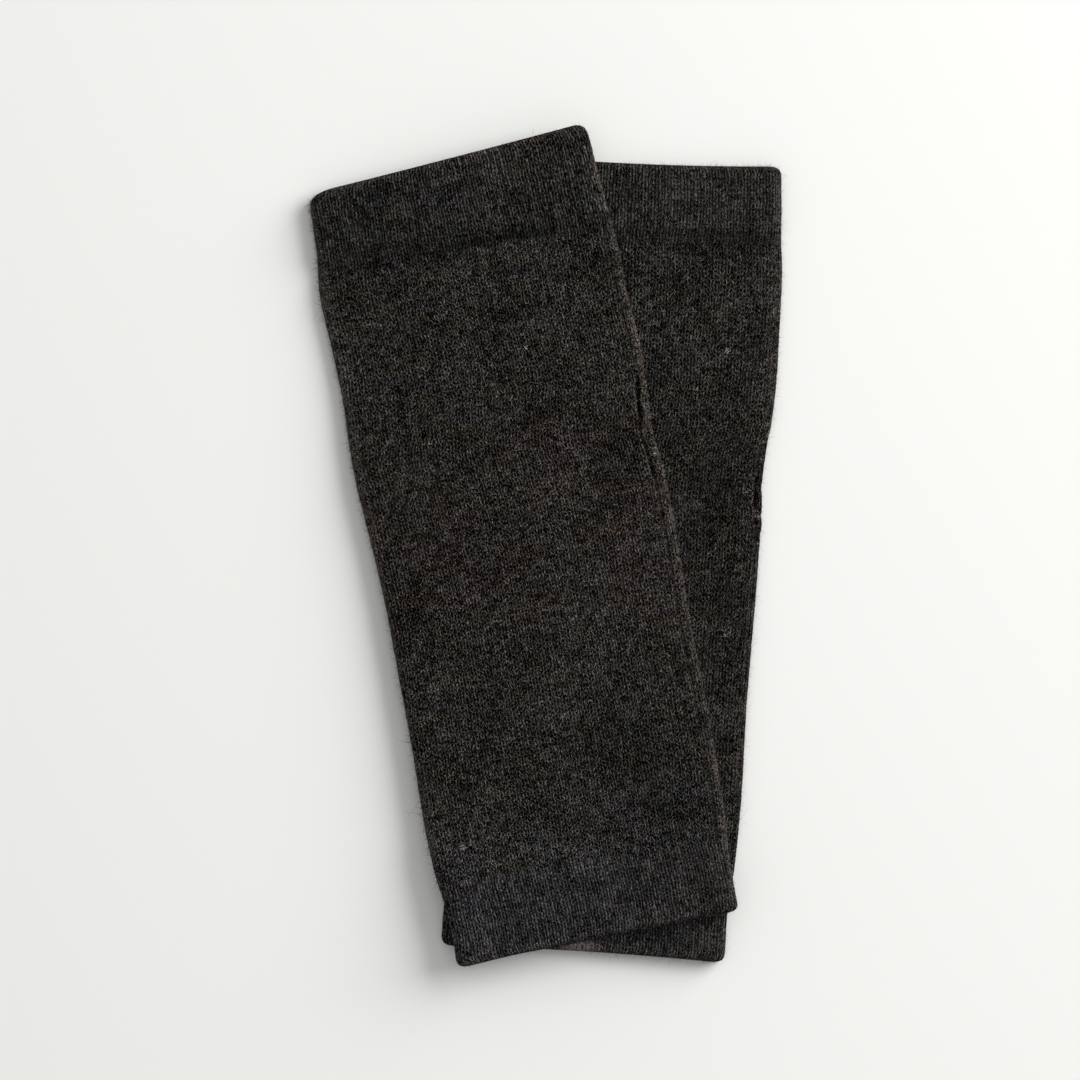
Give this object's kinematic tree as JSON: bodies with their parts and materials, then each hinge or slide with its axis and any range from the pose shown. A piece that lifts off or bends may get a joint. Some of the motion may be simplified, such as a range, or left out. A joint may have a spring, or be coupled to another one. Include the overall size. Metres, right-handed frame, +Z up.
{
  "type": "pair of knitted wrist warmers",
  "caption": "Long fingerless wrist warmers in fine dark melange wool knit, with turned hems and a thumb slit in the side seam, laid flat, one across the other.",
  "frame": {"origin": "middle of the pair's outline, on the surface that it lies on", "axes": "+Y towards the finger ends, +Z up from the surface, +X towards the thumb sides"},
  "size_m": [0.1383, 0.2461, 0.0115],
  "materials": {
    "body_wool": "dark brown-grey melange wool in fine stockinette, slightly brushed, matt",
    "finger_hem_wool": "the same melange wool, turned double at the finger end",
    "arm_hem_wool": "the same melange wool, a little greyer and closer knitted, turned double at the arm end"
  },
  "bodies": {
    "root": {"upper_body": "body_wool", "upper_finger_hem": "finger_hem_wool", "upper_arm_hem": "arm_hem_wool", "lower_body": "body_wool", "lower_finger_hem": "finger_hem_wool", "lower_arm_hem": "arm_hem_wool"}
  },
  "joints": []
}
